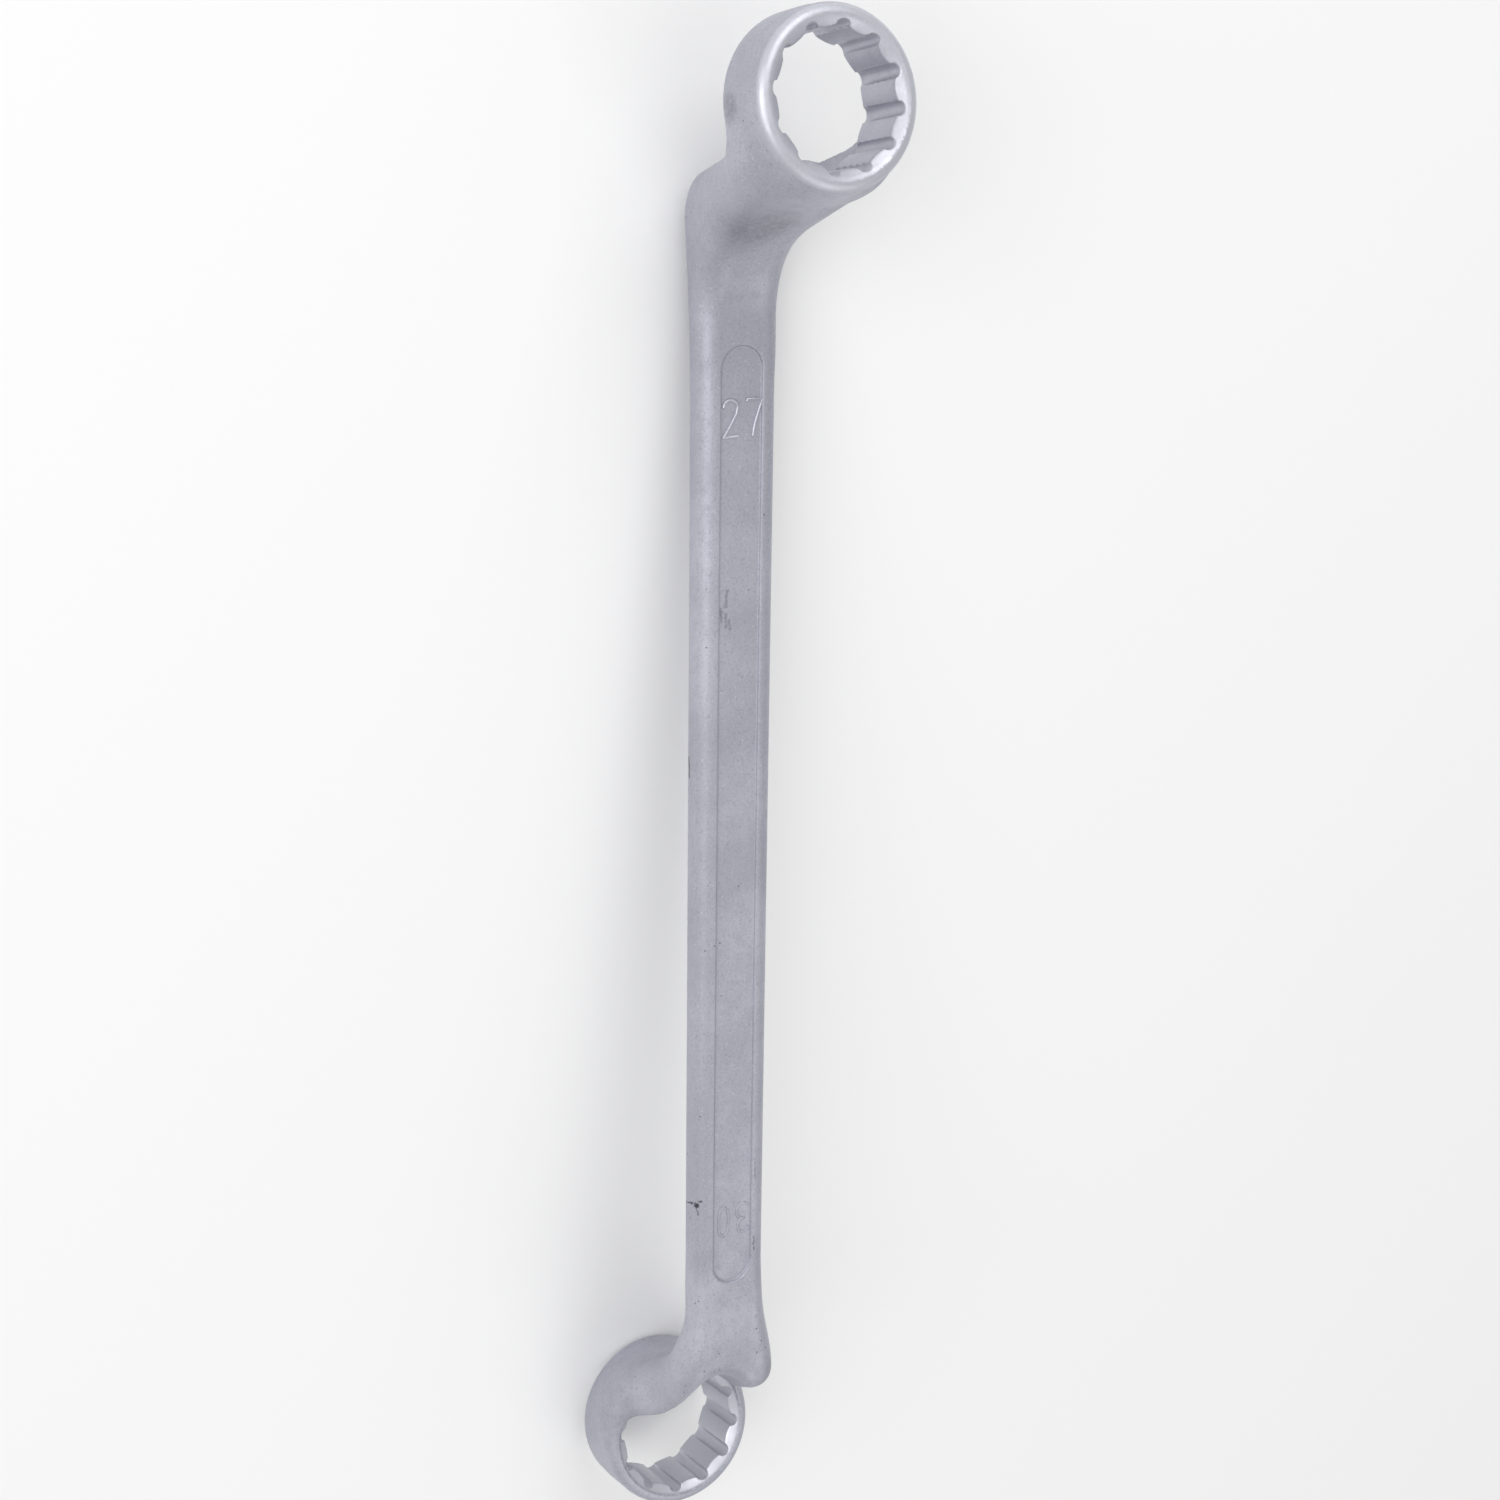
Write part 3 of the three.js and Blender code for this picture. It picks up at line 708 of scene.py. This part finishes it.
def steel_material(name, dark, light, roughest):
    """Blasted and chromed steel: fine grain, soft clouds, scuffs and pits, lighter machined ring faces
    and painted light on the shaded bore walls.
    """
    mat = bpy.data.materials.new(name)
    tree = Tree(mat)
    coords = tree.node("ShaderNodeTexCoord").outputs["Object"]
    place = tree.scaled(coords, 1 / MM)
    grain = tree.noise(place, GRAIN_SCALE, 4.0, 0.62)
    mottle = tree.noise(place, MOTTLE_SCALE, 3.0, 0.55)
    smudge = smudge_mask(tree, place)
    pit = pit_mask(tree, place)
    nick = nick_mask(tree, place)
    finish_and_bore_light = face_finish_and_bore_light_mask(tree, place)

    tone = blasted_tone(tree, place, grain, mottle, dark, light)
    tone = tree.blend(smudge, tone, SMUDGE_TONE)
    tone = tree.blend(tree.math("MULTIPLY", pit, PIT_DARKNESS), tone, PIT_TONE)
    tone = tree.blend(nick, tone, PIT_TONE)
    # Machined faces lighter, and painted light on the shaded bore walls
    tone = tree.blend(finish_and_bore_light, tone, FACE_FINISH_AND_BORE_LIGHT_TONE)
    tree.feed(tree.shader, "Base Color", tone)

    tree.feed(tree.shader, "Metallic", METALLIC)
    rough = tree.band(mottle, 0.3, 0.7, roughest - ROUGHNESS_SPREAD, roughest)
    rough = tree.math("ADD", rough, tree.math("MULTIPLY", smudge, SMUDGE_ROUGHNESS))
    rough = tree.math("SUBTRACT", rough, tree.math("MULTIPLY", finish_and_bore_light, POLISH_ROUGHNESS))
    tree.feed(tree.shader, "Roughness", rough)

    marks = tree.math("MULTIPLY", tree.math("MAXIMUM", pit, nick), MARK_DEPTH)
    height = tree.math("SUBTRACT", grain, marks)
    height = tree.math("ADD", height, tree.math("MULTIPLY", mottle, MOTTLE_DEPTH))
    bump = tree.node("ShaderNodeBump", {
        "Height": height, "Strength": BUMP_STRENGTH, "Distance": BUMP_HEIGHT * MM,
    })
    tree.feed(tree.shader, "Normal", bump.outputs["Normal"])
    return mat


def stroke_piece(name, glyphs, centre, up, tall):
    """Raised size number on the panel's floor, drawn as round strokes."""
    data = bpy.data.curves.new(name, "CURVE")
    data.dimensions = "3D"
    data.bevel_depth = STROKE * 0.5
    data.bevel_resolution = 3
    data.resolution_u = 8
    right = -up
    floor = HALF_THICK - PANEL_DEPTH
    for wide, left, points in glyphs:
        spline = data.splines.new("BEZIER")
        spline.bezier_points.add(len(points) - 1)
        for knot, (gx, gy, corner) in zip(spline.bezier_points, points):
            x = centre[0] + up * (gy - 0.5) * tall
            y = centre[1] + right * (left + gx * wide)
            knot.co = (x, y, floor)
            kind = "VECTOR" if corner else "AUTO"
            knot.handle_left_type = knot.handle_right_type = kind
        spline.use_cyclic_u = points[0][:2] == points[-1][:2]
    data.use_fill_caps = True
    curve = bpy.data.objects.new(name + "_curve", data)
    bpy.context.collection.objects.link(curve)
    bpy.context.view_layer.update()
    shape = curve.evaluated_get(bpy.context.evaluated_depsgraph_get())
    mesh = bpy.data.meshes.new_from_object(shape)
    mesh.name = name
    bpy.data.objects.remove(curve)
    for vertex in mesh.vertices:
        vertex.co.z = floor + (vertex.co.z - floor) * RELIEF[name]
    mesh.transform(PLACE)
    mesh.shade_smooth()
    obj = bpy.data.objects.new(name, mesh)
    bpy.context.collection.objects.link(obj)
    return obj


def add_floor():
    bpy.ops.mesh.primitive_plane_add(size=FLOOR_SIZE, location=(0, 0, 0))
    floor = bpy.context.object
    floor.name = "floor"
    mat = bpy.data.materials.new("pale_floor")
    tree = Tree(mat)
    tree.feed(tree.shader, "Base Color", FLOOR_TONE)
    tree.feed(tree.shader, "Roughness", 0.9)
    tree.feed(tree.shader, "Specular IOR Level", 0.1)
    floor.data.materials.append(mat)


def add_lamp(name, place, size, power):
    """Square soft box that faces the origin."""
    data = bpy.data.lights.new(name, "AREA")
    data.shape = "RECTANGLE"
    data.size = data.size_y = size
    data.energy = power
    lamp = bpy.data.objects.new(name, data)
    lamp.location = place
    lamp.rotation_euler = (-Vector(place)).to_track_quat("-Z", "Y").to_euler()
    bpy.context.collection.objects.link(lamp)


def add_camera():
    data = bpy.data.cameras.new("camera")
    data.lens = CAMERA_LENS
    data.sensor_width = CAMERA_SENSOR
    data.sensor_height = CAMERA_SENSOR
    data.sensor_fit = "HORIZONTAL"
    data.clip_start = 0.01
    data.clip_end = 20
    camera = bpy.data.objects.new("camera", data)
    place = PLACE @ Vector(CAMERA_AT)
    aim = PLACE @ Vector(CAMERA_AIM)
    forward = (aim - place).normalized()
    up = (PLACE.to_3x3() @ Vector((1, 0, 0))).normalized()
    right = forward.cross(up).normalized()
    up = right.cross(forward)
    turn = Matrix((right, up, -forward)).transposed().to_4x4()
    camera.matrix_world = Matrix.Translation(place) @ turn @ Matrix.Rotation(CAMERA_ROLL, 4, "Z")
    bpy.context.collection.objects.link(camera)
    bpy.context.scene.camera = camera


def add_world():
    world = bpy.data.worlds.new("studio")
    bpy.context.scene.world = world
    world.use_nodes = True
    sky = world.node_tree.nodes["Background"]
    sky.inputs["Color"].default_value = (1, 1, 1, 1)
    sky.inputs["Strength"].default_value = SKY_LEVEL


satin = steel_material("satin_chrome", DARK_TONE, LIGHT_TONE, SATIN_ROUGHNESS)
# The raised 27 is worn metal whose lighter tone is partly a painted highlight
worn_and_highlight = steel_material("worn_and_highlight_chrome", WORN_AND_HIGHLIGHT_DARK_TONE, WORN_AND_HIGHLIGHT_LIGHT_TONE, WORN_ROUGHNESS)
forging = build_forging()
number_27 = stroke_piece("number_27", [(4.0, -4.6, TWO), (4.1, 1.5, SEVEN)], (101.75, 0.0), 1, 8.5)
number_30 = stroke_piece("number_30", [(3.6, -4.4, THREE), (2.6, 1.6, NOUGHT)], (-101.1, -0.6), -1, 7.8)
for piece, finish in ((forging, satin), (number_27, worn_and_highlight), (number_30, satin)):
    piece.data.materials.append(finish)
    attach(piece, "root")
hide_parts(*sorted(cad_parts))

add_floor()
add_world()
for name, (place, size, power) in LAMPS.items():
    add_lamp(name, place, size, power)
add_camera()

bpy.context.scene.view_settings.view_transform = "Standard"
